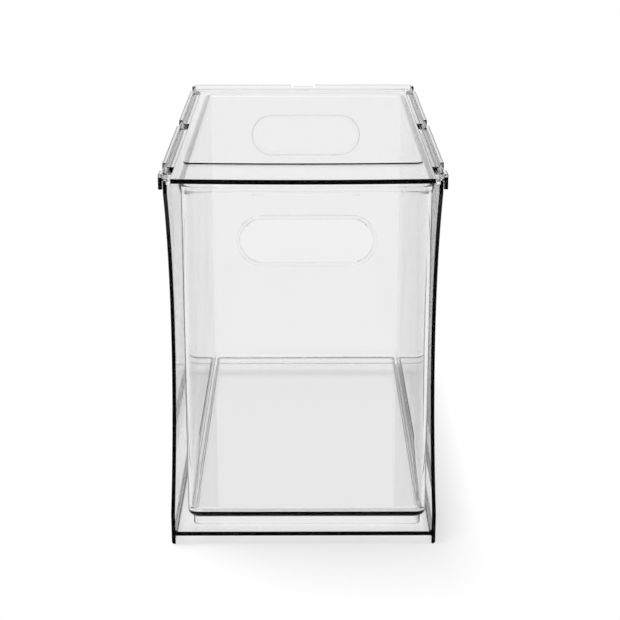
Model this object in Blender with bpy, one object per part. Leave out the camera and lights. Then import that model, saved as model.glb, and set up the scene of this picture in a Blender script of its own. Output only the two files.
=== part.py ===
"""Clear storage drawer unit: an open-fronted case, the cover that snaps on to it, and the bin inside.

Lengths are in metres and +Z is up. The open front faces -Y. The origin is on the table, under the
middle of the unit.
"""
import math

import bmesh
import bpy

# Clearances
FIT = 0.0003                # between the cover and the case that it snaps on to
BIN_LIFT = 0.0003           # under the bin's foot ring
BIN_SIDE_GAP = 0.0064       # bin wall to case wall, with the bin in the middle
BIN_ASIDE = 0.0026          # the loose bin stands this far to the right of the middle
BIN_SETBACK = 0.008         # front of the bin behind the front of the case
BIN_REAR_GAP = 0.0025       # bin wall to the rear wall of the case
BIN_HEADROOM = 0.0035       # bin lip to the underside of the cover

# Cover
COVER_WIDTH = 0.210
COVER_DEPTH = 0.400
COVER_HEIGHT = 0.287        # upper face of the plate above the table
COVER_CORNER = 0.008        # rear corners, seen from above
FRONT_BOW = 0.004           # the middle of the front edge stands out this far
PLATE = 0.0035
SKIRT = 0.003               # thickness of the skirt and of the rim above it
SKIRT_DROP = 0.008          # below the upper face of the plate
RIM_RISE = 0.0032           # above the upper face of the plate
RIM_ROUND = 0.0008
GROOVE_ROOF = 0.0017        # plate left over the tongue of the case
RIB_WIDTH = 0.003           # rib inside the groove, which stands on the shoulder of the case
RIB_DROP = 0.0044           # below the upper face of the plate
PANEL_SIDE = 0.0143         # raised panel, in from the sides of the cover
PANEL_FRONT = 0.052         # and from its front and rear
PANEL_REAR = 0.045
PANEL_RISE = 0.001
PANEL_SLOPE = 0.0005        # width of the panel's rounded step
PANEL_CORNER = 0.007
TAB_WIDTH = 0.018           # springy tab in the middle of the rear rim
TAB_SLIT = 0.0024
TAB_LOWER = 0.0012          # below the top of the rim

# Snap stations along each side
STATIONS = 3
FIRST_STATION = 0.031       # middle of the first one, behind the front edge
LAST_STATION = 0.024        # middle of the last one, ahead of the rear edge
WINDOW_LENGTH = 0.026
NOTCH_DEPTH = 0.001         # the rim is cut this far below the upper face of the plate
FINGER_LENGTH = 0.020
FINGER_RISE = 0.0028        # above the upper face of the plate
HOOK_REACH = 0.0022         # of the finger's head over the notched rim
HEAD_TOP = 0.0008           # width of the head's flat top
HOOK_EDGE = 0.0014          # height of the hook's blunt edge

# Case
CASE_WALL = 0.003
CASE_FLOOR = 0.0034
FLOOR_FILLET = 0.003
FOOT_HEIGHT = 0.0068
FOOT_CHAMFER = 0.0013       # outer edge of the foot, which clears the snap fingers of a unit below
TONGUE = 0.002              # top of the walls, thinned from the inside and round at its top
TOP_SETBACK = 0.005         # front of the walls at their top
SCOOP_START = 0.025         # height at which the concave front edge begins
SCOOP_MIDDLE = 0.1537
SCOOP_DEPTH = 0.044

# Bin
BIN_WALL = 0.0025
BIN_FLOOR = 0.0025
BIN_CORNER = 0.0105
BIN_FILLET = 0.0075         # inside, where the walls meet the floor
BASE_ROUND = 0.004          # outside, where the walls meet the base
FOOT_RING_HEIGHT = 0.0076
FOOT_RING_INSET = 0.0042
FOOT_RING_WALL = 0.0022
FOOT_RING_ROUND = 0.0007
LIP_HEIGHT = 0.0025
LIP_REACH = 0.0015
LIP_ROUND = 0.0006
LIP_COVE = 0.014            # radius that carries the wall out to the lip
HOLE_WIDTH = 0.096
HOLE_HEIGHT = 0.0316
HOLE_DROP = 0.0246          # below the top of the lip
BEAD_WIDTH = 0.0038
BEAD_RISE = 0.0013
BEAD_BACK = 0.0002          # above the inner face of the wall

# Facets
CORNER_STEPS = 7
FILLET_STEPS = 6
EDGE_STEPS = 2
BOW_STEPS = 20
HOLE_STEPS = 14
BEAD_STEPS = 12
STEP_STEPS = 4
SCOOP_STEPS = 28
SHARP_ANGLE = math.radians(28)

# Stock that is cut away again
PAST = 0.006                # a cutter runs this far past what it cuts
FRONT_STOCK = 0.030         # the case and the cover are lofted this much deeper, then cut open
LEAST_CORNER = 0.0005

# Sizes that follow
groove_width = TONGUE + 2 * FIT
rib_inside = SKIRT + groove_width + RIB_WIDTH
cover_half = COVER_WIDTH / 2
cover_front = -COVER_DEPTH / 2
cover_rear = COVER_DEPTH / 2
case_half = cover_half - SKIRT - FIT
case_front = cover_front
case_rear = cover_rear - SKIRT - FIT
case_corner = COVER_CORNER - SKIRT - FIT
station_pitch = (COVER_DEPTH - FIRST_STATION - LAST_STATION) / (STATIONS - 1)
floor_top = FOOT_HEIGHT + CASE_FLOOR
shoulder = COVER_HEIGHT - RIB_DROP - FIT
tongue_top = COVER_HEIGHT - GROOVE_ROOF - FIT
bin_half = case_half - CASE_WALL - BIN_SIDE_GAP
bin_length = case_rear - CASE_WALL - BIN_REAR_GAP - case_front - BIN_SETBACK
bin_bottom = floor_top + BIN_LIFT
bin_height = COVER_HEIGHT - PLATE - BIN_HEADROOM - bin_bottom
hole_middle = bin_height - HOLE_DROP - HOLE_HEIGHT / 2


def clear_plastic(name, colour):
    """A clear moulding plastic with a faint colour of its own."""
    material = bpy.data.materials.new(name)
    material.use_nodes = True
    shader = material.node_tree.nodes["Principled BSDF"]
    shader.inputs["Base Color"].default_value = (*colour, 1.0)
    shader.inputs["Roughness"].default_value = 0.06
    shader.inputs["Metallic"].default_value = 0.0
    shader.inputs["Transmission Weight"].default_value = 1.0
    shader.inputs["IOR"].default_value = 1.57
    return material


def arc(middle, radius, start, turn, steps):
    """Points of an arc about a middle. Angles are in degrees, and a negative turn runs clockwise."""
    points = []
    for step in range(steps + 1):
        angle = math.radians(start + turn * step / steps)
        points.append((middle[0] + radius * math.cos(angle), middle[1] + radius * math.sin(angle)))
    return points


def bow_line(half_width, front):
    """The bowed front edge from left to right, with its middle at front."""
    radius = (cover_half**2 + FRONT_BOW**2) / (2 * FRONT_BOW)
    points = []
    for step in range(BOW_STEPS + 1):
        x = half_width * (2 * step / BOW_STEPS - 1)
        points.append((x, front + radius - math.sqrt(radius**2 - x**2)))
    return points


def rounded_rectangle(half_width, front, rear, radius, bowed=False):
    """Outline seen from above, anticlockwise from the right, with four round corners."""
    inside = half_width - radius
    front_line = bow_line(inside, front) if bowed else [(-inside, front), (inside, front)]
    front_middle = front_line[0][1] + radius
    points = arc((inside, rear - radius), radius, 0, 90, CORNER_STEPS)
    points += arc((-inside, rear - radius), radius, 90, 90, CORNER_STEPS)
    points += arc((-inside, front_middle), radius, 180, 90, CORNER_STEPS)
    points += front_line[1:-1]
    points += arc((inside, front_middle), radius, 270, 90, CORNER_STEPS)
    return points


def link(name, work):
    """Turns a bmesh into an object with its faces pointing out."""
    bmesh.ops.recalc_face_normals(work, faces=work.faces)
    mesh = bpy.data.meshes.new(name)
    work.to_mesh(mesh)
    work.free()
    shape = bpy.data.objects.new(name, mesh)
    bpy.context.scene.collection.objects.link(shape)
    return shape


def skin(work, rings, closed):
    """Joins rings of equal length with faces. Closed joins the last to the first, else both are filled."""
    rows = [[work.verts.new(point) for point in ring] for ring in rings]
    following = rows[1:] + rows[:1] if closed else rows[1:]
    for row, after in zip(rows, following):
        for index in range(len(row)):
            turn = (index + 1) % len(row)
            work.faces.new((row[index], row[turn], after[turn], after[index]))
    if not closed:
        work.faces.new(rows[0])
        work.faces.new(rows[-1])


def loft(name, rings, closed=False):
    """A body through rings of equal length."""
    work = bmesh.new()
    skin(work, rings, closed)
    return link(name, work)


def along_x(name, outline, low, high):
    """An outline seen from the side, as (y, z), extruded between two values of x."""
    return loft(name, [[(x, y, z) for y, z in outline] for x in (low, high)])


def along_y(name, outline, low, high):
    """An outline seen from the front, as (x, z), extruded between two values of y."""
    return loft(name, [[(x, y, z) for x, z in outline] for y in (low, high)])


def along_z(name, outline, low, high):
    """An outline seen from above, as (x, y), extruded between two heights."""
    return loft(name, [[(x, y, z) for x, y in outline] for z in (low, high)])


def tray(name, profile, half_width, front, rear, corner):
    """A body whose profile of insets and heights runs all the way round a plan outline."""
    rings = []
    for inset, z in profile:
        radius = max(corner - inset, LEAST_CORNER)
        outline = rounded_rectangle(half_width - inset, front + inset, rear - inset, radius)
        rings.append([(x, y, z) for x, y in outline])
    return loft(name, rings)


def join(name, shapes):
    """Puts bodies that don't meet into one object."""
    work = bmesh.new()
    for shape in shapes:
        work.from_mesh(shape.data)
        bpy.data.objects.remove(shape)
    return link(name, work)


def combine(target, tool, operation):
    """Adds an exact Boolean with a tool that is made in the target's own frame."""
    modifier = target.modifiers.new(tool.name, "BOOLEAN")
    modifier.operation = operation
    modifier.solver = "EXACT"
    modifier.object = tool
    tool.hide_render = True
    tool.display_type = "WIRE"


def finish(shape, material):
    """Applies the Booleans, deletes their tools, and shades the rounds smooth and the edges crisp."""
    tools = [modifier.object for modifier in shape.modifiers]
    bpy.context.view_layer.update()
    evaluated = shape.evaluated_get(bpy.context.evaluated_depsgraph_get())
    shape.data = bpy.data.meshes.new_from_object(evaluated)
    shape.data.name = shape.name
    shape.modifiers.clear()
    for tool in tools:
        bpy.data.objects.remove(tool)
    shape.data.shade_smooth()
    shape.data.set_sharp_from_angle(angle=SHARP_ANGLE)
    shape.data.materials.clear()
    shape.data.materials.append(material)


def case_front_trim():
    """Cuts the case open. Seen from the side, the cut ends on the concave front edge of the walls."""
    drop = SCOOP_MIDDLE - SCOOP_START
    radius = (drop**2 + SCOOP_DEPTH**2) / (2 * SCOOP_DEPTH)
    middle = case_front + SCOOP_DEPTH - radius
    low = -math.degrees(math.asin(drop / radius))
    high = math.degrees(math.acos((case_front + TOP_SETBACK - middle) / radius))
    top = COVER_HEIGHT + FINGER_RISE + PAST
    outer = case_front - FRONT_STOCK - PAST
    outline = [(outer, -PAST), (case_front, -PAST)]
    outline += arc((middle, SCOOP_MIDDLE), radius, low, high - low, SCOOP_STEPS)
    outline += [(case_front + TOP_SETBACK, top), (outer, top)]
    return along_x("case_front_trim", outline, -case_half - PAST, case_half + PAST)


def snap_finger(side, place):
    """A springy finger on top of the tongue. Its head leans outwards over the notched rim, clear of a foot."""
    slant = FOOT_CHAMFER - FIT * (math.sqrt(2) - 1)
    inner = side * (case_half - TONGUE)
    lean = side * (case_half - slant)
    outer = side * case_half
    head_inner = side * (case_half + FIT)
    head_outer = side * (case_half + FIT + HEAD_TOP)
    hooked = side * (case_half + HOOK_REACH)
    hook_low = COVER_HEIGHT - NOTCH_DEPTH + FIT
    neck_top = COVER_HEIGHT - FIT
    top = COVER_HEIGHT + FINGER_RISE
    outline = [
        (inner, shoulder + FIT),
        (outer, shoulder + FIT),
        (outer, hook_low),
        (hooked, hook_low),
        (hooked, hook_low + HOOK_EDGE),
        (head_outer, top),
        (head_inner, top),
        (head_inner, COVER_HEIGHT + slant),
        (lean, neck_top),
        (inner, neck_top),
    ]
    return along_y("finger", outline, place - FINGER_LENGTH / 2, place + FINGER_LENGTH / 2)


def snap_stations():
    """The side and the place of each snap, from the front to the rear."""
    places = [cover_front + FIRST_STATION + number * station_pitch for number in range(STATIONS)]
    return [(side, place) for place in places for side in (-1, 1)]


def outer_shell():
    """The case: side walls, floor, rear wall and the feet under the side walls, moulded in one."""
    fillet_middle = (CASE_WALL + FLOOR_FILLET, floor_top + FLOOR_FILLET)
    tongue_round = TONGUE / 2
    profile = [(FOOT_CHAMFER, 0.0), (0.0, FOOT_CHAMFER)]
    profile += arc((tongue_round, tongue_top - tongue_round), tongue_round, 180, -180, 2 * EDGE_STEPS)
    profile += [(TONGUE, shoulder), (CASE_WALL, shoulder)]
    profile += arc(fillet_middle, FLOOR_FILLET, 180, 90, FILLET_STEPS)
    front = case_front - FRONT_STOCK
    shell = tray("outer_shell", profile, case_half, front, case_rear, case_corner)
    foot_inside = case_half - CASE_WALL
    gap = [(-foot_inside, -PAST), (foot_inside, -PAST), (foot_inside, FOOT_HEIGHT), (-foot_inside, FOOT_HEIGHT)]
    combine(shell, along_y("between_feet", gap, front - PAST, case_rear + PAST), "DIFFERENCE")
    combine(shell, case_front_trim(), "DIFFERENCE")
    fingers = [snap_finger(side, place) for side, place in snap_stations()]
    combine(shell, join("snap_fingers", fingers), "UNION")
    finish(shell, clear_plastic("case_plastic", (0.93, 0.94, 0.945)))
    return shell


def cover_front_trim():
    """Cuts the cover off along its bowed front edge."""
    width = cover_half + PAST
    outer = cover_front - FRONT_STOCK - PAST
    outline = bow_line(width, cover_front) + [(width, outer), (-width, outer)]
    return along_z("cover_front_trim", outline, -SKIRT_DROP - PAST, RIM_RISE + PAST)


def raised_panel():
    """The raised panel: a low block with a rounded step all round and a bowed front edge."""
    profile = [(0.0, -PLATE / 2)]
    for step in range(STEP_STEPS + 1):
        turn = math.pi * step / STEP_STEPS
        profile.append((PANEL_SLOPE * step / STEP_STEPS, PANEL_RISE * (1 - math.cos(turn)) / 2))
    rings = []
    for margin, z in profile:
        half_width = cover_half - PANEL_SIDE - margin
        front = cover_front + PANEL_FRONT + margin
        rear = cover_rear - PANEL_REAR - margin
        outline = rounded_rectangle(half_width, front, rear, PANEL_CORNER - margin, bowed=True)
        rings.append([(x, y, z) for x, y in outline])
    return loft("raised_panel", rings)


def snap_window(side, place):
    """A window through the plate and the rib for a snap finger, with the rim notched beside it."""
    inner = side * (cover_half - rib_inside)
    groove = side * (cover_half - SKIRT)
    outer = side * (cover_half + PAST)
    low = -RIB_DROP - PAST
    high = RIM_RISE + PAST
    outline = [
        (inner, low),
        (groove, low),
        (groove, -NOTCH_DEPTH),
        (outer, -NOTCH_DEPTH),
        (outer, high),
        (inner, high),
    ]
    return along_y("window", outline, place - WINDOW_LENGTH / 2, place + WINDOW_LENGTH / 2)


def rear_tab_cut():
    """Two slits that free a springy tab in the rear rim and skirt, and the cut that lowers its top."""
    inner = TAB_WIDTH / 2
    outer = inner + TAB_SLIT
    low = -SKIRT_DROP - PAST
    high = RIM_RISE + PAST
    tab_top = RIM_RISE - TAB_LOWER
    outline = [
        (-outer, low),
        (-inner, low),
        (-inner, tab_top),
        (inner, tab_top),
        (inner, low),
        (outer, low),
        (outer, high),
        (-outer, high),
    ]
    return along_y("rear_tab_cut", outline, cover_rear - SKIRT, cover_rear + PAST)


def top_cover():
    """The cover: plate, raised panel, rim and skirt, with a groove for the case and its snap windows."""
    profile = [
        (rib_inside, -PLATE),
        (rib_inside, -RIB_DROP),
        (SKIRT + groove_width, -RIB_DROP),
        (SKIRT + groove_width, -GROOVE_ROOF),
        (SKIRT, -GROOVE_ROOF),
        (SKIRT, -SKIRT_DROP),
    ]
    rim_middle = RIM_RISE - RIM_ROUND
    profile += arc((RIM_ROUND, RIM_ROUND - SKIRT_DROP), RIM_ROUND, -90, -90, EDGE_STEPS)
    profile += arc((RIM_ROUND, rim_middle), RIM_ROUND, 180, -90, EDGE_STEPS)
    profile += arc((SKIRT - RIM_ROUND, rim_middle), RIM_ROUND, 90, -90, EDGE_STEPS)
    profile.append((SKIRT, 0.0))
    front = cover_front - FRONT_STOCK
    cover = tray("top_cover", profile, cover_half, front, cover_rear, COVER_CORNER)
    combine(cover, cover_front_trim(), "DIFFERENCE")
    combine(cover, raised_panel(), "UNION")
    windows = [snap_window(side, place) for side, place in snap_stations()]
    combine(cover, join("snap_windows", windows), "DIFFERENCE")
    combine(cover, rear_tab_cut(), "DIFFERENCE")
    finish(cover, clear_plastic("cover_plastic", (0.93, 0.94, 0.945)))
    cover.location.z = COVER_HEIGHT
    return cover


def foot_ring_profile():
    """Down the inside of the foot ring, round its bottom edges and up its outside."""
    inner = FOOT_RING_INSET + FOOT_RING_WALL
    profile = [(inner, FOOT_RING_HEIGHT)]
    profile += arc((inner - FOOT_RING_ROUND, FOOT_RING_ROUND), FOOT_RING_ROUND, 0, -90, EDGE_STEPS)
    outer_middle = (FOOT_RING_INSET + FOOT_RING_ROUND, FOOT_RING_ROUND)
    profile += arc(outer_middle, FOOT_RING_ROUND, -90, -90, EDGE_STEPS)
    profile.append((FOOT_RING_INSET, FOOT_RING_HEIGHT))
    return profile


def lip_profile():
    """Up the cove that carries the wall out, over the lip and down to the inside of the wall."""
    swing = math.degrees(math.acos(1 - LIP_REACH / LIP_COVE))
    lip_bottom = bin_height - LIP_HEIGHT
    cove_start = lip_bottom - LIP_COVE * math.sin(math.radians(swing))
    profile = arc((-LIP_COVE, cove_start), LIP_COVE, 0, swing, FILLET_STEPS)
    round_height = bin_height - LIP_ROUND
    profile += arc((LIP_ROUND - LIP_REACH, round_height), LIP_ROUND, 180, -90, EDGE_STEPS)
    profile += arc((BIN_WALL - LIP_ROUND, round_height), LIP_ROUND, 90, -90, EDGE_STEPS)
    return profile


def bin_profile():
    """From the underside of the floor, round the foot ring and over the lip, to the floor's upper face."""
    base_middle = (BASE_ROUND, FOOT_RING_HEIGHT + BASE_ROUND)
    floor_level = FOOT_RING_HEIGHT + BIN_FLOOR
    profile = foot_ring_profile()
    profile += arc(base_middle, BASE_ROUND, -90, -90, FILLET_STEPS)
    profile += lip_profile()
    fillet_middle = (BIN_WALL + BIN_FILLET, floor_level + BIN_FILLET)
    profile += arc(fillet_middle, BIN_FILLET, 180, 90, FILLET_STEPS)
    return profile


def hand_hole(name, low, high):
    """The cut for a hand-hole, between two depths. It runs along the middle of the bead round the hole."""
    radius = (HOLE_HEIGHT + BEAD_WIDTH) / 2
    reach = (HOLE_WIDTH - HOLE_HEIGHT) / 2
    outline = arc((reach, hole_middle), radius, -90, 180, HOLE_STEPS)
    outline += arc((-reach, hole_middle), radius, 90, 180, HOLE_STEPS)
    return along_y(name, outline, low, high)


def hand_hole_bead(name, wall_face, outward):
    """A round bead swept along the edge of a hand-hole, proud of both faces of the wall."""
    half_depth = (BEAD_RISE + BIN_WALL + BEAD_BACK) / 2
    section = []
    for across, up in arc((0.0, 0.0), 1.0, 0, 360, BEAD_STEPS)[:-1]:
        section.append((BEAD_WIDTH / 2 * (1 + across), BEAD_RISE - half_depth * (1 - up)))
    reach = (HOLE_WIDTH - HOLE_HEIGHT) / 2
    rings = []
    for side, start in ((1, -90), (-1, 90)):
        for step in range(HOLE_STEPS + 1):
            angle = math.radians(start + 180 * step / HOLE_STEPS)
            ring = []
            for across, up in section:
                radius = HOLE_HEIGHT / 2 + across
                x = side * reach + radius * math.cos(angle)
                z = hole_middle + radius * math.sin(angle)
                ring.append((x, wall_face + outward * up, z))
            rings.append(ring)
    return loft(name, rings, closed=True)


def drawer_bin():
    """The bin: lipped walls, floor, foot ring, and a beaded hand-hole at the front and at the rear."""
    rear = bin_length
    body = tray("drawer_bin", bin_profile(), bin_half, 0.0, rear, BIN_CORNER)
    holes = [
        hand_hole("front_hole", -PAST, BIN_WALL + PAST),
        hand_hole("rear_hole", rear - BIN_WALL - PAST, rear + PAST),
    ]
    combine(body, join("hand_holes", holes), "DIFFERENCE")
    beads = [hand_hole_bead("front_bead", 0.0, -1), hand_hole_bead("rear_bead", rear, 1)]
    combine(body, join("beads", beads), "UNION")
    finish(body, clear_plastic("bin_plastic", (0.94, 0.945, 0.95)))
    body.location = (BIN_ASIDE, case_front + BIN_SETBACK, bin_bottom)
    return body


def main():
    for old in list(bpy.data.objects):
        bpy.data.objects.remove(old)
    unit = bpy.data.objects.new("unit", None)
    slide = bpy.data.objects.new("drawer_slide", None)
    for empty in (unit, slide):
        bpy.context.scene.collection.objects.link(empty)
    slide.parent = unit
    outer_shell().parent = unit
    top_cover().parent = unit
    drawer_bin().parent = slide


main()
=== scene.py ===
"""The looks of the clear storage drawer unit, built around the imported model.

Lengths are in metres, in the model's own frame: +Z is up and the open front faces -Y. The three
mouldings have the model's shapes, with finer facets and softened edges. Three small forms differ:
the inner fillets along the bin's sides and the round edges of the cover's rim are smaller here, and
small fillets fill the corners under the case's floor.
"""
import math

import bmesh
import bpy
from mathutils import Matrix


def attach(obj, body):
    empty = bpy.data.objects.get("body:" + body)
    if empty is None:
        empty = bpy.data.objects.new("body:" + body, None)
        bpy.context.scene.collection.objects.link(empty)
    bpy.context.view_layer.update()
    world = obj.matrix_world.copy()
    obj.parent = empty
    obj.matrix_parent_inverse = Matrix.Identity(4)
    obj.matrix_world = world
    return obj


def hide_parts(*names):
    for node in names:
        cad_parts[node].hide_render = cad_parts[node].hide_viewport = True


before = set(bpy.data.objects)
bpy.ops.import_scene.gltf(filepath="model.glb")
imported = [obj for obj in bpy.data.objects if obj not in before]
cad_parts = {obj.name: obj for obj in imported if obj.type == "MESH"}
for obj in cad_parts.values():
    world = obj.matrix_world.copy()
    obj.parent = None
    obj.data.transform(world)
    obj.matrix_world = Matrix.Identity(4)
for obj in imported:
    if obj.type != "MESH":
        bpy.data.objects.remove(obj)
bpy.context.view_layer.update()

# Clearances
FIT = 0.0003                # between the cover and the case
BIN_LIFT = 0.0003           # under the bin's foot ring
BIN_SIDE_GAP = 0.0064       # bin wall to case wall, with the bin in the middle
BIN_ASIDE = 0.0026          # the loose bin stands this far to the right of the middle
BIN_SETBACK = 0.008         # front of the bin behind the front of the case
BIN_REAR_GAP = 0.0025       # bin wall to the rear wall of the case
BIN_HEADROOM = 0.0035       # bin lip to the underside of the cover

# Cover
COVER_WIDTH = 0.210
COVER_DEPTH = 0.400
COVER_HEIGHT = 0.287        # upper face of the plate above the table
COVER_CORNER = 0.008        # rear corners, seen from above
FRONT_BOW = 0.004           # the middle of the front edge stands out this far
PLATE = 0.0035
SKIRT = 0.003               # thickness of the skirt and of the rim above it
SKIRT_DROP = 0.008          # below the upper face of the plate
RIM_RISE = 0.0032           # above the upper face of the plate
RIM_ROUND = 0.0003          # upper edges of the rim and outer lower edge of the skirt
GROOVE_ROOF = 0.0017        # plate left over the tongue of the case
RIB_WIDTH = 0.003           # rib inside the groove, which stands on the shoulder of the case
RIB_DROP = 0.0044           # below the upper face of the plate
PANEL_SIDE = 0.0143         # raised panel, in from the sides of the cover
PANEL_FRONT = 0.052         # and from its front and rear
PANEL_REAR = 0.045
PANEL_RISE = 0.001
PANEL_SLOPE = 0.0005        # width of the panel's rounded step
PANEL_CORNER = 0.007
TAB_WIDTH = 0.018           # springy tab in the middle of the rear rim
TAB_SLIT = 0.0024
TAB_LOWER = 0.0012          # below the top of the rim

# Snap stations along each side
STATIONS = 3
FIRST_STATION = 0.031       # middle of the first one, behind the front edge
LAST_STATION = 0.024        # middle of the last one, ahead of the rear edge
WINDOW_LENGTH = 0.026
NOTCH_DEPTH = 0.001         # the rim is cut this far below the upper face of the plate
FINGER_LENGTH = 0.020
FINGER_RISE = 0.0028        # above the upper face of the plate
HOOK_REACH = 0.0022         # of the finger's head over the notched rim
HEAD_TOP = 0.0008           # width of the head's flat top
HOOK_EDGE = 0.0014          # height of the hook's blunt edge

# Case
CASE_WALL = 0.003
CASE_FLOOR = 0.0034
FLOOR_FILLET = 0.003
FOOT_HEIGHT = 0.0068
FOOT_CHAMFER = 0.0013       # outer edge of the foot, which clears the snap fingers of a unit below
UNDER_FILLET = 0.001        # under the floor, at the feet
TONGUE = 0.002              # top of the walls, thinned from the inside and round at its top
TOP_SETBACK = 0.005         # front of the walls at their top
SCOOP_START = 0.025         # height at which the concave front edge begins
SCOOP_MIDDLE = 0.1537
SCOOP_DEPTH = 0.044

# Bin
BIN_WALL = 0.0025
BIN_FLOOR = 0.0025
BIN_CORNER = 0.0105
BIN_FILLET = 0.0075         # inside, where the front and rear walls meet the floor
SIDE_FILLET = 0.003         # and where the side walls do
BASE_ROUND = 0.004          # outside, where the walls meet the base
FOOT_RING_HEIGHT = 0.0076
FOOT_RING_INSET = 0.0042
FOOT_RING_WALL = 0.0022
FOOT_RING_ROUND = 0.0007
LIP_HEIGHT = 0.0025
LIP_REACH = 0.0015
LIP_ROUND = 0.0006
LIP_COVE = 0.014            # radius that carries the wall out to the lip
HOLE_WIDTH = 0.096
HOLE_HEIGHT = 0.0316
HOLE_DROP = 0.0246          # below the top of the lip
BEAD_WIDTH = 0.0038
BEAD_RISE = 0.0013
BEAD_BACK = 0.0002          # above the inner face of the wall

# Facets and edges
CORNER_STEPS = 18
FILLET_STEPS = 14
EDGE_STEPS = 5
BOW_STEPS = 40
HOLE_STEPS = 36             # over half of a hand-hole
BEAD_STEPS = 48             # around the bead's section
SCOOP_STEPS = 72
PANEL_STEPS = 10            # over the panel's rounded step
CORNER_BLEND = 6            # higher keeps more of a corner like the front and the rear of its tray
SHARP_ANGLE = math.radians(30)      # edges sharper than this also look sharp
SOFT_ANGLE = math.radians(40)       # and those sharper than this are rounded a little
EDGE_ROUND = 0.00025
EDGE_SEGMENTS = 2

# Plastic. Each kind of noise has a scale, a detail and a stretch.
REFRACTION = 1.57
ABSORPTION = 9.0            # light lost per metre of plastic
SHINE = 0.15                # strength of the reflections seen square on
SCUFF_NOISE = (90.0, 6.0, (1.0, 1.0, 1.0))
SCUFF_START = 0.45          # noise value where the scuffs begin
SCUFF_END = 0.75            # and where they are at their roughest
LEAST_ROUGHNESS = 0.008
MOST_ROUGHNESS = 0.03
WAVE_NOISE = (14.0, 1.0, (1.0, 0.6, 1.0))
WAVE_HEIGHT = 0.0001        # gentle waviness left by the mould
FLOW_NOISE = (30.0, 2.0, (1.0, 1.0, 0.25))
FLOW_HEIGHT = 0.00002       # finer flow marks, drawn out upwards
FLOW_SHIFT = 3.0
RELIEF_STRENGTH = 0.5
CASE_SHIFT = 0.0            # each moulding shows another part of the noise
COVER_SHIFT = 7.0
BIN_SHIFT = 13.0

# Camera, as worked out from the photo
PHOTO_WIDTH = 620.0         # pixels
FOCAL_LENGTH = 1618.0       # pixels
SENSOR_WIDTH = 36.0         # millimetres
CAMERA_AHEAD = 1.340        # of the middle of the unit
CAMERA_HEIGHT = 0.543
CAMERA_DOWN = 17.25         # degrees
CAMERA_TURN = -0.248        # degrees, anticlockwise from above
CLIP_END = 50.0

# Studio
SEEN_LEVEL = 0.92           # the white of the room and the floor, as seen in and through the plastic
ROOM_LEVEL = 0.6            # the white of the room as it lights the floor
HALF_BOUNCE = 0.5           # between no bounce off the floor and one
LAMP_STRENGTH = 1.9
LAMP_SPREAD = 50.0          # degrees
LAMP_FROM_BEHIND = -8.0     # degrees
LAMP_FROM_LEFT = -20.0      # degrees
LAMP_HEIGHT = 1.0           # where it is drawn, which has no effect on parallel light
SHADOW_SHARE = 0.5          # share of the floor's white, near the unit, that a shadow can take away
UNDER_SHARE = 0.04          # and under it, where the rest of the floor's white is painted light that glows in place of the unit's shadow
PAINTED_LIGHT_SIDE = 0.012          # the painted light under it ends this far in from the sides
PAINTED_LIGHT_END = 0.032           # and from the front and the rear
NEAR_SHIFT = 0.150          # the near zone also lies under the pulled-out bin
NEAR_LENGTH = 0.700         # it is as wide as the cover
NEAR_FADE = 0.035
FLOOR_GAP = 0.0002          # air under the feet, as under any dry foot
FLOOR_REACH = 8.0           # each way from the middle
FLOOR_BOTTOM = -0.02

# Stock that is cut away again
PAST = 0.006                # a cutter runs this far past what it cuts
FRONT_STOCK = 0.030         # the case and the cover are lofted this much deeper, then cut open
LEAST_CORNER = 0.0005       # of an outline, however far it is inset

# Sizes that follow
groove_width = TONGUE + 2 * FIT
rib_inside = SKIRT + groove_width + RIB_WIDTH
cover_half = COVER_WIDTH / 2
cover_front = -COVER_DEPTH / 2
cover_rear = COVER_DEPTH / 2
case_half = cover_half - SKIRT - FIT
case_front = cover_front
case_rear = cover_rear - SKIRT - FIT
case_corner = COVER_CORNER - SKIRT - FIT
station_pitch = (COVER_DEPTH - FIRST_STATION - LAST_STATION) / (STATIONS - 1)
floor_top = FOOT_HEIGHT + CASE_FLOOR
shoulder = COVER_HEIGHT - RIB_DROP - FIT
tongue_top = COVER_HEIGHT - GROOVE_ROOF - FIT
bin_half = case_half - CASE_WALL - BIN_SIDE_GAP
bin_length = case_rear - CASE_WALL - BIN_REAR_GAP - case_front - BIN_SETBACK
bin_bottom = floor_top + BIN_LIFT
bin_height = COVER_HEIGHT - PLATE - BIN_HEADROOM - bin_bottom
hole_middle = bin_height - HOLE_DROP - HOLE_HEIGHT / 2
hole_reach = (HOLE_WIDTH - HOLE_HEIGHT) / 2


def arc(middle, radius, start, turn, steps):
    """Points of an arc about a middle. Angles are in degrees, and a negative turn runs clockwise."""
    points = []
    for step in range(steps + 1):
        angle = math.radians(start + turn * step / steps)
        points.append((middle[0] + radius * math.cos(angle), middle[1] + radius * math.sin(angle)))
    return points


def bow_line(half_width, front):
    """The bowed front edge from left to right, with its middle at front."""
    radius = (cover_half**2 + FRONT_BOW**2) / (2 * FRONT_BOW)
    points = []
    for step in range(BOW_STEPS + 1):
        x = half_width * (2 * step / BOW_STEPS - 1)
        points.append((x, front + radius - math.sqrt(radius**2 - x**2)))
    return points


def rounded_rectangle(half_width, front, rear, radius, bowed=False):
    """Outline seen from above, anticlockwise from the right, with four round corners."""
    inside = half_width - radius
    front_line = bow_line(inside, front) if bowed else [(-inside, front), (inside, front)]
    front_middle = front_line[0][1] + radius
    points = arc((inside, rear - radius), radius, 0, 90, CORNER_STEPS)
    points += arc((-inside, rear - radius), radius, 90, 90, CORNER_STEPS)
    points += arc((-inside, front_middle), radius, 180, 90, CORNER_STEPS)
    points += front_line[1:-1]
    points += arc((inside, front_middle), radius, 270, 90, CORNER_STEPS)
    return points


def link(name, work):
    """Turns a bmesh into an object with its faces pointing out."""
    bmesh.ops.recalc_face_normals(work, faces=work.faces)
    mesh = bpy.data.meshes.new(name)
    work.to_mesh(mesh)
    work.free()
    shape = bpy.data.objects.new(name, mesh)
    bpy.context.scene.collection.objects.link(shape)
    return shape


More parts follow.
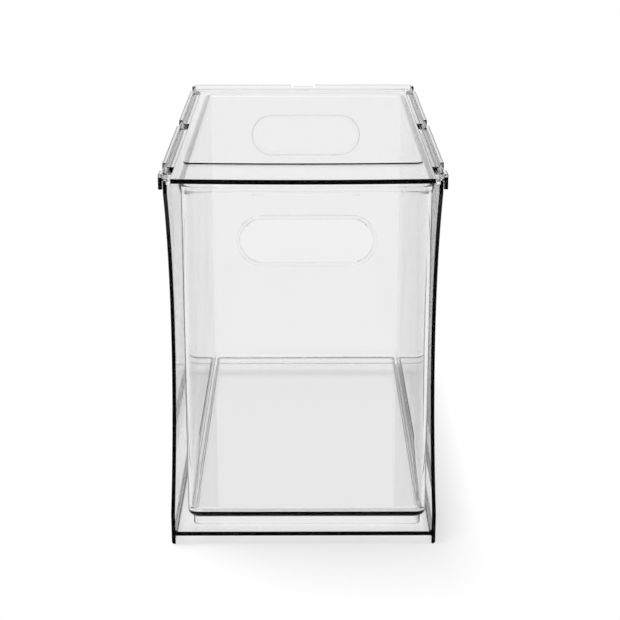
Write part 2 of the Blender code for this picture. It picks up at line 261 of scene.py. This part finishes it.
def skin(work, rings, closed):
    """Joins rings of equal length with faces. Closed joins the last to the first, else both are filled."""
    rows = [[work.verts.new(point) for point in ring] for ring in rings]
    following = rows[1:] + rows[:1] if closed else rows[1:]
    for row, after in zip(rows, following):
        for index in range(len(row)):
            turn = (index + 1) % len(row)
            work.faces.new((row[index], row[turn], after[turn], after[index]))
    if not closed:
        work.faces.new(rows[0])
        work.faces.new(rows[-1])


def loft(name, rings, closed=False):
    """A body through rings of equal length."""
    work = bmesh.new()
    skin(work, rings, closed)
    return link(name, work)


def along_x(name, outline, low, high):
    """An outline seen from the side, as (y, z), extruded between two values of x."""
    return loft(name, [[(x, y, z) for y, z in outline] for x in (low, high)])


def along_y(name, outline, low, high):
    """An outline seen from the front, as (x, z), extruded between two values of y."""
    return loft(name, [[(x, y, z) for x, z in outline] for y in (low, high)])


def along_z(name, outline, low, high):
    """An outline seen from above, as (x, y), extruded between two heights."""
    return loft(name, [[(x, y, z) for x, y in outline] for z in (low, high)])


def tray(name, profile, half_width, front, rear, corner, side_profile=None):
    """A body whose profile of insets and heights runs all the way round a plan outline.

    The sides may have a profile of their own, and the corners then lead from one to the other.
    """
    rings = []
    for (inset, z), (side_inset, side_z) in zip(profile, side_profile or profile):
        radius = max(corner - inset, LEAST_CORNER)
        straight = half_width - side_inset - radius
        ring = []
        for x, y in rounded_rectangle(half_width - side_inset, front + inset, rear - inset, radius):
            turned = max(abs(x) - straight, 0.0) / radius
            ring.append((x, y, z + (side_z - z) * turned**CORNER_BLEND))
        rings.append(ring)
    return loft(name, rings)


def join(name, shapes):
    """Puts bodies that don't meet into one object."""
    work = bmesh.new()
    for shape in shapes:
        work.from_mesh(shape.data)
        bpy.data.objects.remove(shape)
    return link(name, work)


def combine(target, tool, operation):
    """Adds an exact Boolean with a tool that is made in the target's own frame."""
    modifier = target.modifiers.new(tool.name, "BOOLEAN")
    modifier.operation = operation
    modifier.solver = "EXACT"
    modifier.object = tool
    tool.hide_render = True
    tool.display_type = "WIRE"


def finish(shape, material):
    """Applies the Booleans, deletes their tools, softens the sharp edges and keeps flat faces flat."""
    tools = [modifier.object for modifier in shape.modifiers]
    bpy.context.view_layer.update()
    evaluated = shape.evaluated_get(bpy.context.evaluated_depsgraph_get())
    shape.data = bpy.data.meshes.new_from_object(evaluated)
    shape.data.name = shape.name
    shape.modifiers.clear()
    for tool in tools:
        bpy.data.objects.remove(tool)
    bevel = shape.modifiers.new("soft_edges", "BEVEL")
    bevel.width = EDGE_ROUND
    bevel.segments = EDGE_SEGMENTS
    bevel.limit_method = "ANGLE"
    bevel.angle_limit = SOFT_ANGLE
    bevel.use_clamp_overlap = False
    shape.data.shade_smooth()
    shape.data.set_sharp_from_angle(angle=SHARP_ANGLE)
    normals = shape.modifiers.new("flat_faces", "WEIGHTED_NORMAL")
    normals.keep_sharp = True
    shape.data.materials.clear()
    shape.data.materials.append(material)


def feed(tree, value, socket):
    """Gives a node's input a number, or the output of another node."""
    if isinstance(value, float):
        socket.default_value = value
    else:
        tree.links.new(value, socket)


def calculate(tree, operation, *values):
    """The result of a math node."""
    node = tree.nodes.new("ShaderNodeMath")
    node.operation = operation
    for value, socket in zip(values, node.inputs):
        feed(tree, value, socket)
    return node.outputs["Value"]


def choose(tree, flag, on, off):
    """One level where a flag is set, and another one where it isn't."""
    mix = tree.nodes.new("ShaderNodeMix")
    mix.data_type = "FLOAT"
    tree.links.new(flag, mix.inputs["Factor"])
    feed(tree, off, mix.inputs["A"])
    feed(tree, on, mix.inputs["B"])
    return mix.outputs["Result"]


def noise(tree, place, pattern, shift):
    """A noise value over the part's own coordinates."""
    scale, detail, stretch = pattern
    mapping = tree.nodes.new("ShaderNodeMapping")
    mapping.inputs["Location"].default_value = (shift, shift, shift)
    mapping.inputs["Scale"].default_value = stretch
    tree.links.new(place.outputs["Object"], mapping.inputs["Vector"])
    texture = tree.nodes.new("ShaderNodeTexNoise")
    texture.inputs["Scale"].default_value = scale
    texture.inputs["Detail"].default_value = detail
    tree.links.new(mapping.outputs["Vector"], texture.inputs["Vector"])
    return texture.outputs["Fac"]


def spread(tree, value, low, high, start, end):
    """Maps a value that runs from start to end on to a range from low to high."""
    rescale = tree.nodes.new("ShaderNodeMapRange")
    rescale.inputs["From Min"].default_value = start
    rescale.inputs["From Max"].default_value = end
    rescale.inputs["To Min"].default_value = low
    rescale.inputs["To Max"].default_value = high
    tree.links.new(value, rescale.inputs["Value"])
    return rescale.outputs["Result"]


def bump(tree, height, distance, below=None):
    """A bump layer, on top of another one if there is one."""
    layer = tree.nodes.new("ShaderNodeBump")
    layer.inputs["Distance"].default_value = distance
    layer.inputs["Strength"].default_value = RELIEF_STRENGTH
    tree.links.new(height, layer.inputs["Height"])
    if below is not None:
        tree.links.new(below, layer.inputs["Normal"])
    return layer.outputs["Normal"]


def clear_plastic(name, shift):
    """Clear moulded plastic: slightly wavy from the mould, with flow marks and faint scuffs."""
    material = bpy.data.materials.new(name)
    material.use_nodes = True
    tree = material.node_tree
    shader = tree.nodes["Principled BSDF"]
    output = tree.nodes["Material Output"]
    place = tree.nodes.new("ShaderNodeTexCoord")
    shader.inputs["Base Color"].default_value = (1.0, 1.0, 1.0, 1.0)
    shader.inputs["Transmission Weight"].default_value = 1.0
    shader.inputs["IOR"].default_value = REFRACTION
    shader.inputs["Specular Tint"].default_value = (SHINE, SHINE, SHINE, 1.0)
    scuffs = noise(tree, place, SCUFF_NOISE, shift)
    roughness = spread(tree, scuffs, LEAST_ROUGHNESS, MOST_ROUGHNESS, SCUFF_START, SCUFF_END)
    tree.links.new(roughness, shader.inputs["Roughness"])
    waves = noise(tree, place, WAVE_NOISE, shift)
    flow = noise(tree, place, FLOW_NOISE, shift + FLOW_SHIFT)
    relief = bump(tree, waves, WAVE_HEIGHT)
    relief = bump(tree, flow, FLOW_HEIGHT, relief)
    tree.links.new(relief, shader.inputs["Normal"])
    volume = tree.nodes.new("ShaderNodeVolumeAbsorption")
    volume.inputs["Color"].default_value = (0.0, 0.0, 0.0, 1.0)
    volume.inputs["Density"].default_value = ABSORPTION
    tree.links.new(volume.outputs["Volume"], output.inputs["Volume"])
    return material


def case_front_trim():
    """Cuts the case open. Seen from the side, the cut ends on the concave front edge of the walls."""
    drop = SCOOP_MIDDLE - SCOOP_START
    radius = (drop**2 + SCOOP_DEPTH**2) / (2 * SCOOP_DEPTH)
    middle = case_front + SCOOP_DEPTH - radius
    low = -math.degrees(math.asin(drop / radius))
    high = math.degrees(math.acos((case_front + TOP_SETBACK - middle) / radius))
    top = COVER_HEIGHT + FINGER_RISE + PAST
    outer = case_front - FRONT_STOCK - PAST
    outline = [(outer, -PAST), (case_front, -PAST)]
    outline += arc((middle, SCOOP_MIDDLE), radius, low, high - low, SCOOP_STEPS)
    outline += [(case_front + TOP_SETBACK, top), (outer, top)]
    return along_x("case_front_trim", outline, -case_half - PAST, case_half + PAST)


def snap_finger(side, place):
    """A springy finger on top of the tongue. Its head leans outwards over the notched rim.

    The slant keeps it clear of the chamfered foot of a unit above.
    """
    slant = FOOT_CHAMFER - FIT * (math.sqrt(2) - 1)
    inner = side * (case_half - TONGUE)
    lean = side * (case_half - slant)
    outer = side * case_half
    head_inner = side * (case_half + FIT)
    head_outer = side * (case_half + FIT + HEAD_TOP)
    hooked = side * (case_half + HOOK_REACH)
    hook_low = COVER_HEIGHT - NOTCH_DEPTH + FIT
    neck_top = COVER_HEIGHT - FIT
    top = COVER_HEIGHT + FINGER_RISE
    outline = [
        (inner, shoulder + FIT),
        (outer, shoulder + FIT),
        (outer, hook_low),
        (hooked, hook_low),
        (hooked, hook_low + HOOK_EDGE),
        (head_outer, top),
        (head_inner, top),
        (head_inner, COVER_HEIGHT + slant),
        (lean, neck_top),
        (inner, neck_top),
    ]
    return along_y("finger", outline, place - FINGER_LENGTH / 2, place + FINGER_LENGTH / 2)


def snap_stations():
    """The side and the place of each snap, from the front to the rear."""
    places = [cover_front + FIRST_STATION + number * station_pitch for number in range(STATIONS)]
    return [(side, place) for place in places for side in (-1, 1)]


def outer_shell():
    """The case: side walls, floor, rear wall and the feet under the side walls, moulded in one."""
    fillet_middle = (CASE_WALL + FLOOR_FILLET, floor_top + FLOOR_FILLET)
    tongue_round = TONGUE / 2
    profile = [(FOOT_CHAMFER, 0.0), (0.0, FOOT_CHAMFER)]
    profile += arc((tongue_round, tongue_top - tongue_round), tongue_round, 180, -180, 2 * EDGE_STEPS)
    profile += [(TONGUE, shoulder), (CASE_WALL, shoulder)]
    profile += arc(fillet_middle, FLOOR_FILLET, 180, 90, FILLET_STEPS)
    front = case_front - FRONT_STOCK
    shell = tray("case_moulding", profile, case_half, front, case_rear, case_corner)
    foot_inside = case_half - CASE_WALL
    fillet_start = foot_inside - UNDER_FILLET
    gap = [(-foot_inside, -PAST), (foot_inside, -PAST)]
    gap += arc((fillet_start, FOOT_HEIGHT - UNDER_FILLET), UNDER_FILLET, 0, 90, EDGE_STEPS)
    gap += arc((-fillet_start, FOOT_HEIGHT - UNDER_FILLET), UNDER_FILLET, 90, 90, EDGE_STEPS)
    combine(shell, along_y("between_feet", gap, front - PAST, case_rear + PAST), "DIFFERENCE")
    combine(shell, case_front_trim(), "DIFFERENCE")
    fingers = [snap_finger(side, place) for side, place in snap_stations()]
    combine(shell, join("snap_fingers", fingers), "UNION")
    finish(shell, clear_plastic("case_plastic", CASE_SHIFT))
    return shell


def cover_front_trim():
    """Cuts the cover off along its bowed front edge."""
    width = cover_half + PAST
    outer = cover_front - FRONT_STOCK - PAST
    outline = bow_line(width, cover_front) + [(width, outer), (-width, outer)]
    return along_z("cover_front_trim", outline, -SKIRT_DROP - PAST, RIM_RISE + PAST)


def raised_panel():
    """The raised panel: a low block with a rounded step all round and a bowed front edge."""
    profile = [(0.0, -PLATE / 2)]
    for step in range(PANEL_STEPS + 1):
        turn = math.pi * step / PANEL_STEPS
        profile.append((PANEL_SLOPE * step / PANEL_STEPS, PANEL_RISE * (1 - math.cos(turn)) / 2))
    rings = []
    for margin, z in profile:
        half_width = cover_half - PANEL_SIDE - margin
        front = cover_front + PANEL_FRONT + margin
        rear = cover_rear - PANEL_REAR - margin
        outline = rounded_rectangle(half_width, front, rear, PANEL_CORNER - margin, bowed=True)
        rings.append([(x, y, z) for x, y in outline])
    return loft("raised_panel", rings)


def snap_window(side, place):
    """A window through the plate and the rib for a snap finger, with the rim notched beside it."""
    inner = side * (cover_half - rib_inside)
    groove = side * (cover_half - SKIRT)
    outer = side * (cover_half + PAST)
    low = -RIB_DROP - PAST
    high = RIM_RISE + PAST
    outline = [
        (inner, low),
        (groove, low),
        (groove, -NOTCH_DEPTH),
        (outer, -NOTCH_DEPTH),
        (outer, high),
        (inner, high),
    ]
    return along_y("window", outline, place - WINDOW_LENGTH / 2, place + WINDOW_LENGTH / 2)


def rear_tab_cut():
    """Two slits that free a springy tab in the rear rim and skirt, and the cut that lowers its top."""
    inner = TAB_WIDTH / 2
    outer = inner + TAB_SLIT
    low = -SKIRT_DROP - PAST
    high = RIM_RISE + PAST
    tab_top = RIM_RISE - TAB_LOWER
    outline = [
        (-outer, low),
        (-inner, low),
        (-inner, tab_top),
        (inner, tab_top),
        (inner, low),
        (outer, low),
        (outer, high),
        (-outer, high),
    ]
    return along_y("rear_tab_cut", outline, cover_rear - SKIRT, cover_rear + PAST)


def top_cover():
    """The cover: plate, raised panel, rim and skirt, with a groove for the case and its snap windows."""
    profile = [
        (rib_inside, -PLATE),
        (rib_inside, -RIB_DROP),
        (SKIRT + groove_width, -RIB_DROP),
        (SKIRT + groove_width, -GROOVE_ROOF),
        (SKIRT, -GROOVE_ROOF),
        (SKIRT, -SKIRT_DROP),
    ]
    rim_middle = RIM_RISE - RIM_ROUND
    profile += arc((RIM_ROUND, RIM_ROUND - SKIRT_DROP), RIM_ROUND, -90, -90, EDGE_STEPS)
    profile += arc((RIM_ROUND, rim_middle), RIM_ROUND, 180, -90, EDGE_STEPS)
    profile += arc((SKIRT - RIM_ROUND, rim_middle), RIM_ROUND, 90, -90, EDGE_STEPS)
    profile.append((SKIRT, 0.0))
    front = cover_front - FRONT_STOCK
    cover = tray("cover_moulding", profile, cover_half, front, cover_rear, COVER_CORNER)
    combine(cover, cover_front_trim(), "DIFFERENCE")
    combine(cover, raised_panel(), "UNION")
    windows = [snap_window(side, place) for side, place in snap_stations()]
    combine(cover, join("snap_windows", windows), "DIFFERENCE")
    combine(cover, rear_tab_cut(), "DIFFERENCE")
    finish(cover, clear_plastic("cover_plastic", COVER_SHIFT))
    cover.location.z = COVER_HEIGHT
    return cover


def foot_ring_profile():
    """Down the inside of the foot ring, round its bottom edges and up its outside."""
    inner = FOOT_RING_INSET + FOOT_RING_WALL
    profile = [(inner, FOOT_RING_HEIGHT)]
    profile += arc((inner - FOOT_RING_ROUND, FOOT_RING_ROUND), FOOT_RING_ROUND, 0, -90, EDGE_STEPS)
    outer_middle = (FOOT_RING_INSET + FOOT_RING_ROUND, FOOT_RING_ROUND)
    profile += arc(outer_middle, FOOT_RING_ROUND, -90, -90, EDGE_STEPS)
    profile.append((FOOT_RING_INSET, FOOT_RING_HEIGHT))
    return profile


def lip_profile():
    """Up the cove that carries the wall out, over the lip and down to the inside of the wall."""
    swing = math.degrees(math.acos(1 - LIP_REACH / LIP_COVE))
    lip_bottom = bin_height - LIP_HEIGHT
    cove_start = lip_bottom - LIP_COVE * math.sin(math.radians(swing))
    profile = arc((-LIP_COVE, cove_start), LIP_COVE, 0, swing, FILLET_STEPS)
    round_height = bin_height - LIP_ROUND
    profile += arc((LIP_ROUND - LIP_REACH, round_height), LIP_ROUND, 180, -90, EDGE_STEPS)
    profile += arc((BIN_WALL - LIP_ROUND, round_height), LIP_ROUND, 90, -90, EDGE_STEPS)
    return profile


def bin_profile(fillet):
    """From the underside of the floor, round the foot ring and over the lip, to the floor's upper face."""
    base_middle = (BASE_ROUND, FOOT_RING_HEIGHT + BASE_ROUND)
    floor_level = FOOT_RING_HEIGHT + BIN_FLOOR
    profile = foot_ring_profile()
    profile += arc(base_middle, BASE_ROUND, -90, -90, FILLET_STEPS)
    profile += lip_profile()
    fillet_middle = (BIN_WALL + fillet, floor_level + fillet)
    profile += arc(fillet_middle, fillet, 180, 90, FILLET_STEPS)
    return profile


def hand_hole(name, low, high):
    """The cut for a hand-hole, between two depths. It runs along the middle of the bead round the hole."""
    radius = (HOLE_HEIGHT + BEAD_WIDTH) / 2
    outline = arc((hole_reach, hole_middle), radius, -90, 180, HOLE_STEPS)
    outline += arc((-hole_reach, hole_middle), radius, 90, 180, HOLE_STEPS)
    return along_y(name, outline, low, high)


def hand_hole_bead(name, wall_face, outward):
    """A round bead swept along the edge of a hand-hole, proud of both faces of the wall."""
    half_depth = (BEAD_RISE + BIN_WALL + BEAD_BACK) / 2
    section = []
    for across, up in arc((0.0, 0.0), 1.0, 0, 360, BEAD_STEPS)[:-1]:
        section.append((BEAD_WIDTH / 2 * (1 + across), BEAD_RISE - half_depth * (1 - up)))
    rings = []
    for side, start in ((1, -90), (-1, 90)):
        for step in range(HOLE_STEPS + 1):
            angle = math.radians(start + 180 * step / HOLE_STEPS)
            ring = []
            for across, up in section:
                radius = HOLE_HEIGHT / 2 + across
                x = side * hole_reach + radius * math.cos(angle)
                z = hole_middle + radius * math.sin(angle)
                ring.append((x, wall_face + outward * up, z))
            rings.append(ring)
    return loft(name, rings, closed=True)


def drawer_bin():
    """The bin: lipped walls, floor, foot ring, and a beaded hand-hole at the front and at the rear."""
    rear = bin_length
    profile = bin_profile(BIN_FILLET)
    side_profile = bin_profile(SIDE_FILLET)
    body = tray("bin_moulding", profile, bin_half, 0.0, rear, BIN_CORNER, side_profile)
    holes = [
        hand_hole("front_hole", -PAST, BIN_WALL + PAST),
        hand_hole("rear_hole", rear - BIN_WALL - PAST, rear + PAST),
    ]
    combine(body, join("hand_holes", holes), "DIFFERENCE")
    beads = [hand_hole_bead("front_bead", 0.0, -1), hand_hole_bead("rear_bead", rear, 1)]
    combine(body, join("beads", beads), "UNION")
    finish(body, clear_plastic("bin_plastic", BIN_SHIFT))
    body.location = (BIN_ASIDE, case_front + BIN_SETBACK, bin_bottom)
    return body


def dress(piece, body, node):
    """Lets a piece move with a body of the model and stand for one of its nodes."""
    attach(piece, body)
    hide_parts(node)


def place_camera():
    """The photo's view: in front of the unit, above it and looking down."""
    data = bpy.data.cameras.new("photo_camera")
    data.sensor_width = SENSOR_WIDTH
    data.lens = FOCAL_LENGTH / PHOTO_WIDTH * SENSOR_WIDTH
    data.clip_end = CLIP_END
    camera = bpy.data.objects.new("photo_camera", data)
    bpy.context.scene.collection.objects.link(camera)
    camera.location = (0.0, -CAMERA_AHEAD, CAMERA_HEIGHT)
    camera.rotation_euler = (math.radians(90.0 - CAMERA_DOWN), 0.0, math.radians(CAMERA_TURN))
    bpy.context.scene.camera = camera


def white_surroundings():
    """A white room. Rays that have met the plastic see it a little grey, and it half lights the floor."""
    bpy.context.scene.view_settings.view_transform = "Standard"
    world = bpy.data.worlds.new("studio")
    bpy.context.scene.world = world
    world.use_nodes = True
    tree = world.node_tree
    background = tree.nodes["Background"]
    background.inputs["Color"].default_value = (1.0, 1.0, 1.0, 1.0)
    path = tree.nodes.new("ShaderNodeLightPath")
    level = choose(tree, path.outputs["Is Glossy Ray"], SEEN_LEVEL, ROOM_LEVEL)
    level = choose(tree, path.outputs["Is Camera Ray"], 1.0, level)
    bounced = calculate(tree, "GREATER_THAN", path.outputs["Diffuse Depth"], HALF_BOUNCE)
    level = choose(tree, bounced, ROOM_LEVEL, level)
    tree.links.new(level, background.inputs["Strength"])


def soft_lamp():
    """Broad soft light from high up, a little to the left of the unit and behind it."""
    data = bpy.data.lights.new("soft_lamp", "SUN")
    data.angle = math.radians(LAMP_SPREAD)
    data.energy = LAMP_STRENGTH
    lamp = bpy.data.objects.new("soft_lamp", data)
    bpy.context.scene.collection.objects.link(lamp)
    lamp.rotation_euler = (math.radians(LAMP_FROM_BEHIND), math.radians(LAMP_FROM_LEFT), 0.0)
    lamp.location = (0.0, 0.0, LAMP_HEIGHT)


def within(tree, value, limit, fade):
    """One where the size of a value is under a limit, and zero once it is past the fade."""
    size = calculate(tree, "ABSOLUTE", value)
    return spread(tree, size, 1.0, 0.0, limit, limit + fade)


def lit_share(tree):
    """The share of the floor's white that light makes: a part near the unit, and little of it under it,
    where the floor glows as painted light in place of its shadow.
    """
    place = tree.nodes.new("ShaderNodeTexCoord")
    split = tree.nodes.new("ShaderNodeSeparateXYZ")
    tree.links.new(place.outputs["Object"], split.inputs["Vector"])
    across = split.outputs["X"]
    along = split.outputs["Y"]
    near_across = within(tree, across, cover_half, NEAR_FADE)
    near_along = within(tree, calculate(tree, "ADD", along, NEAR_SHIFT), NEAR_LENGTH / 2, NEAR_FADE)
    # painted light: under the unit the floor glows white in place of the unit's shadow
    painted_light_across = within(tree, across, cover_half - PAINTED_LIGHT_SIDE, PAINTED_LIGHT_SIDE)
    painted_light_along = within(tree, along, cover_rear - PAINTED_LIGHT_END, PAINTED_LIGHT_END)
    near = calculate(tree, "MULTIPLY", near_across, near_along)
    under = calculate(tree, "MULTIPLY", painted_light_across, painted_light_along)
    share = spread(tree, under, SHADOW_SHARE, UNDER_SHARE, 0.0, 1.0)
    return calculate(tree, "MULTIPLY", near, share)


def floor_paint():
    """White that takes light and shadow only near the unit, glows further off, and glows under the unit as
    painted light in place of its shadow.
    """
    material = bpy.data.materials.new("floor_paint")
    material.use_nodes = True
    tree = material.node_tree
    tree.nodes.remove(tree.nodes["Principled BSDF"])
    output = tree.nodes["Material Output"]
    paint = tree.nodes.new("ShaderNodeBsdfDiffuse")
    paint.inputs["Color"].default_value = (1.0, 1.0, 1.0, 1.0)
    glow = tree.nodes.new("ShaderNodeEmission")
    path = tree.nodes.new("ShaderNodeLightPath")
    level = choose(tree, path.outputs["Is Camera Ray"], 1.0, SEEN_LEVEL)
    tree.links.new(level, glow.inputs["Strength"])
    mix = tree.nodes.new("ShaderNodeMixShader")
    tree.links.new(lit_share(tree), mix.inputs["Fac"])
    tree.links.new(glow.outputs["Emission"], mix.inputs[1])
    tree.links.new(paint.outputs["BSDF"], mix.inputs[2])
    tree.links.new(mix.outputs["Shader"], output.inputs["Surface"])
    return material


def pale_floor():
    """A wide white floor just under the feet."""
    low = -FLOOR_REACH
    high = FLOOR_REACH
    square = [(low, low), (high, low), (high, high), (low, high)]
    floor = along_z("floor", square, FLOOR_BOTTOM, -FLOOR_GAP)
    floor.data.materials.append(floor_paint())


dress(outer_shell(), "case", "outer_shell")
dress(top_cover(), "case", "top_cover")
dress(drawer_bin(), "drawer", "drawer_bin")
place_camera()
white_surroundings()
soft_lamp()
pale_floor()
